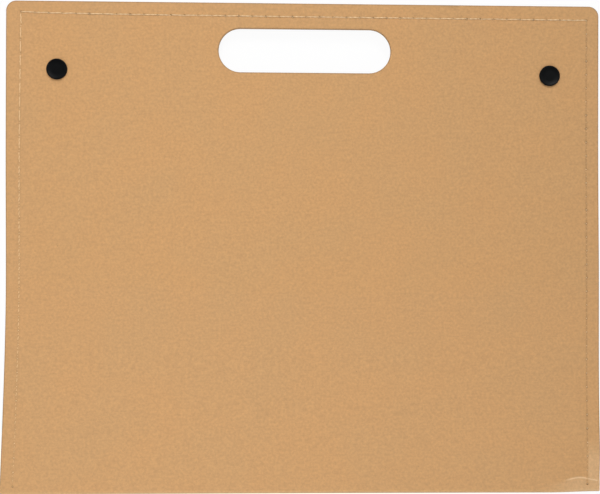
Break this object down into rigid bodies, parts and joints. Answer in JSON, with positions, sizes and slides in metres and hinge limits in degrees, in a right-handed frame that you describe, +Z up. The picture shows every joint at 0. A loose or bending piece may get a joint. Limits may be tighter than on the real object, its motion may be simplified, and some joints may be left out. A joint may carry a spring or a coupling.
{
  "type": "cardboard writing folder",
  "caption": "Flat kraft cardboard folder with a handle slot, sewn edges, press studs and a folded spine, holding a writing pad inside.",
  "frame": {"origin": "middle of the closed folder's footprint, at the outer faces of the two back caps it lies on", "axes": "+X along the fold, +Y from the fold to the handle edge, +Z up out of the front cover"},
  "size_m": [0.355, 0.291, 0.016],
  "materials": {
    "kraft_board": "uncoated brown kraft board with fine fibre flecks",
    "kraft_lining": "uncoated brown kraft board, thinner sheet",
    "sewing_thread": "twisted sewing thread",
    "grey_board": "uncoated grey board",
    "paper": "uncoated writing paper",
    "binding_tape": "brown paper tape",
    "elastic": "ribbed black elastic",
    "black_plastic": "satin black moulded",
    "nickel": "stamped and nickel plated"
  },
  "bodies": {
    "back": {"back_cover": "kraft_board", "back_lining": "kraft_lining", "back_thread": "sewing_thread", "pad_backing": "grey_board", "pad_pocket": "kraft_lining", "pad_pages": "paper", "pad_binding": "binding_tape", "pen_loop": "elastic", "left_stud": "nickel", "left_back_cap": "black_plastic", "right_stud": "nickel", "right_back_cap": "black_plastic"},
    "spine": {"spine": "kraft_board"},
    "front": {"front_cover": "kraft_board", "front_lining": "kraft_lining", "front_thread": "sewing_thread", "document_pocket": "kraft_lining", "left_front_cap": "black_plastic", "left_socket": "nickel", "right_front_cap": "black_plastic", "right_socket": "nickel"}
  },
  "joints": [
    {"name": "spine_fold", "type": "hinge", "parent": "back", "child": "spine", "pos_m": [0, -0.1455, 0.0003], "axis": [1, 0, 0], "range_deg": [0, 90]},
    {"name": "cover_fold", "type": "hinge", "parent": "spine", "child": "front", "pos_m": [0, -0.1455, 0.016], "axis": [1, 0, 0], "range_deg": [0, 90]}
  ]
}
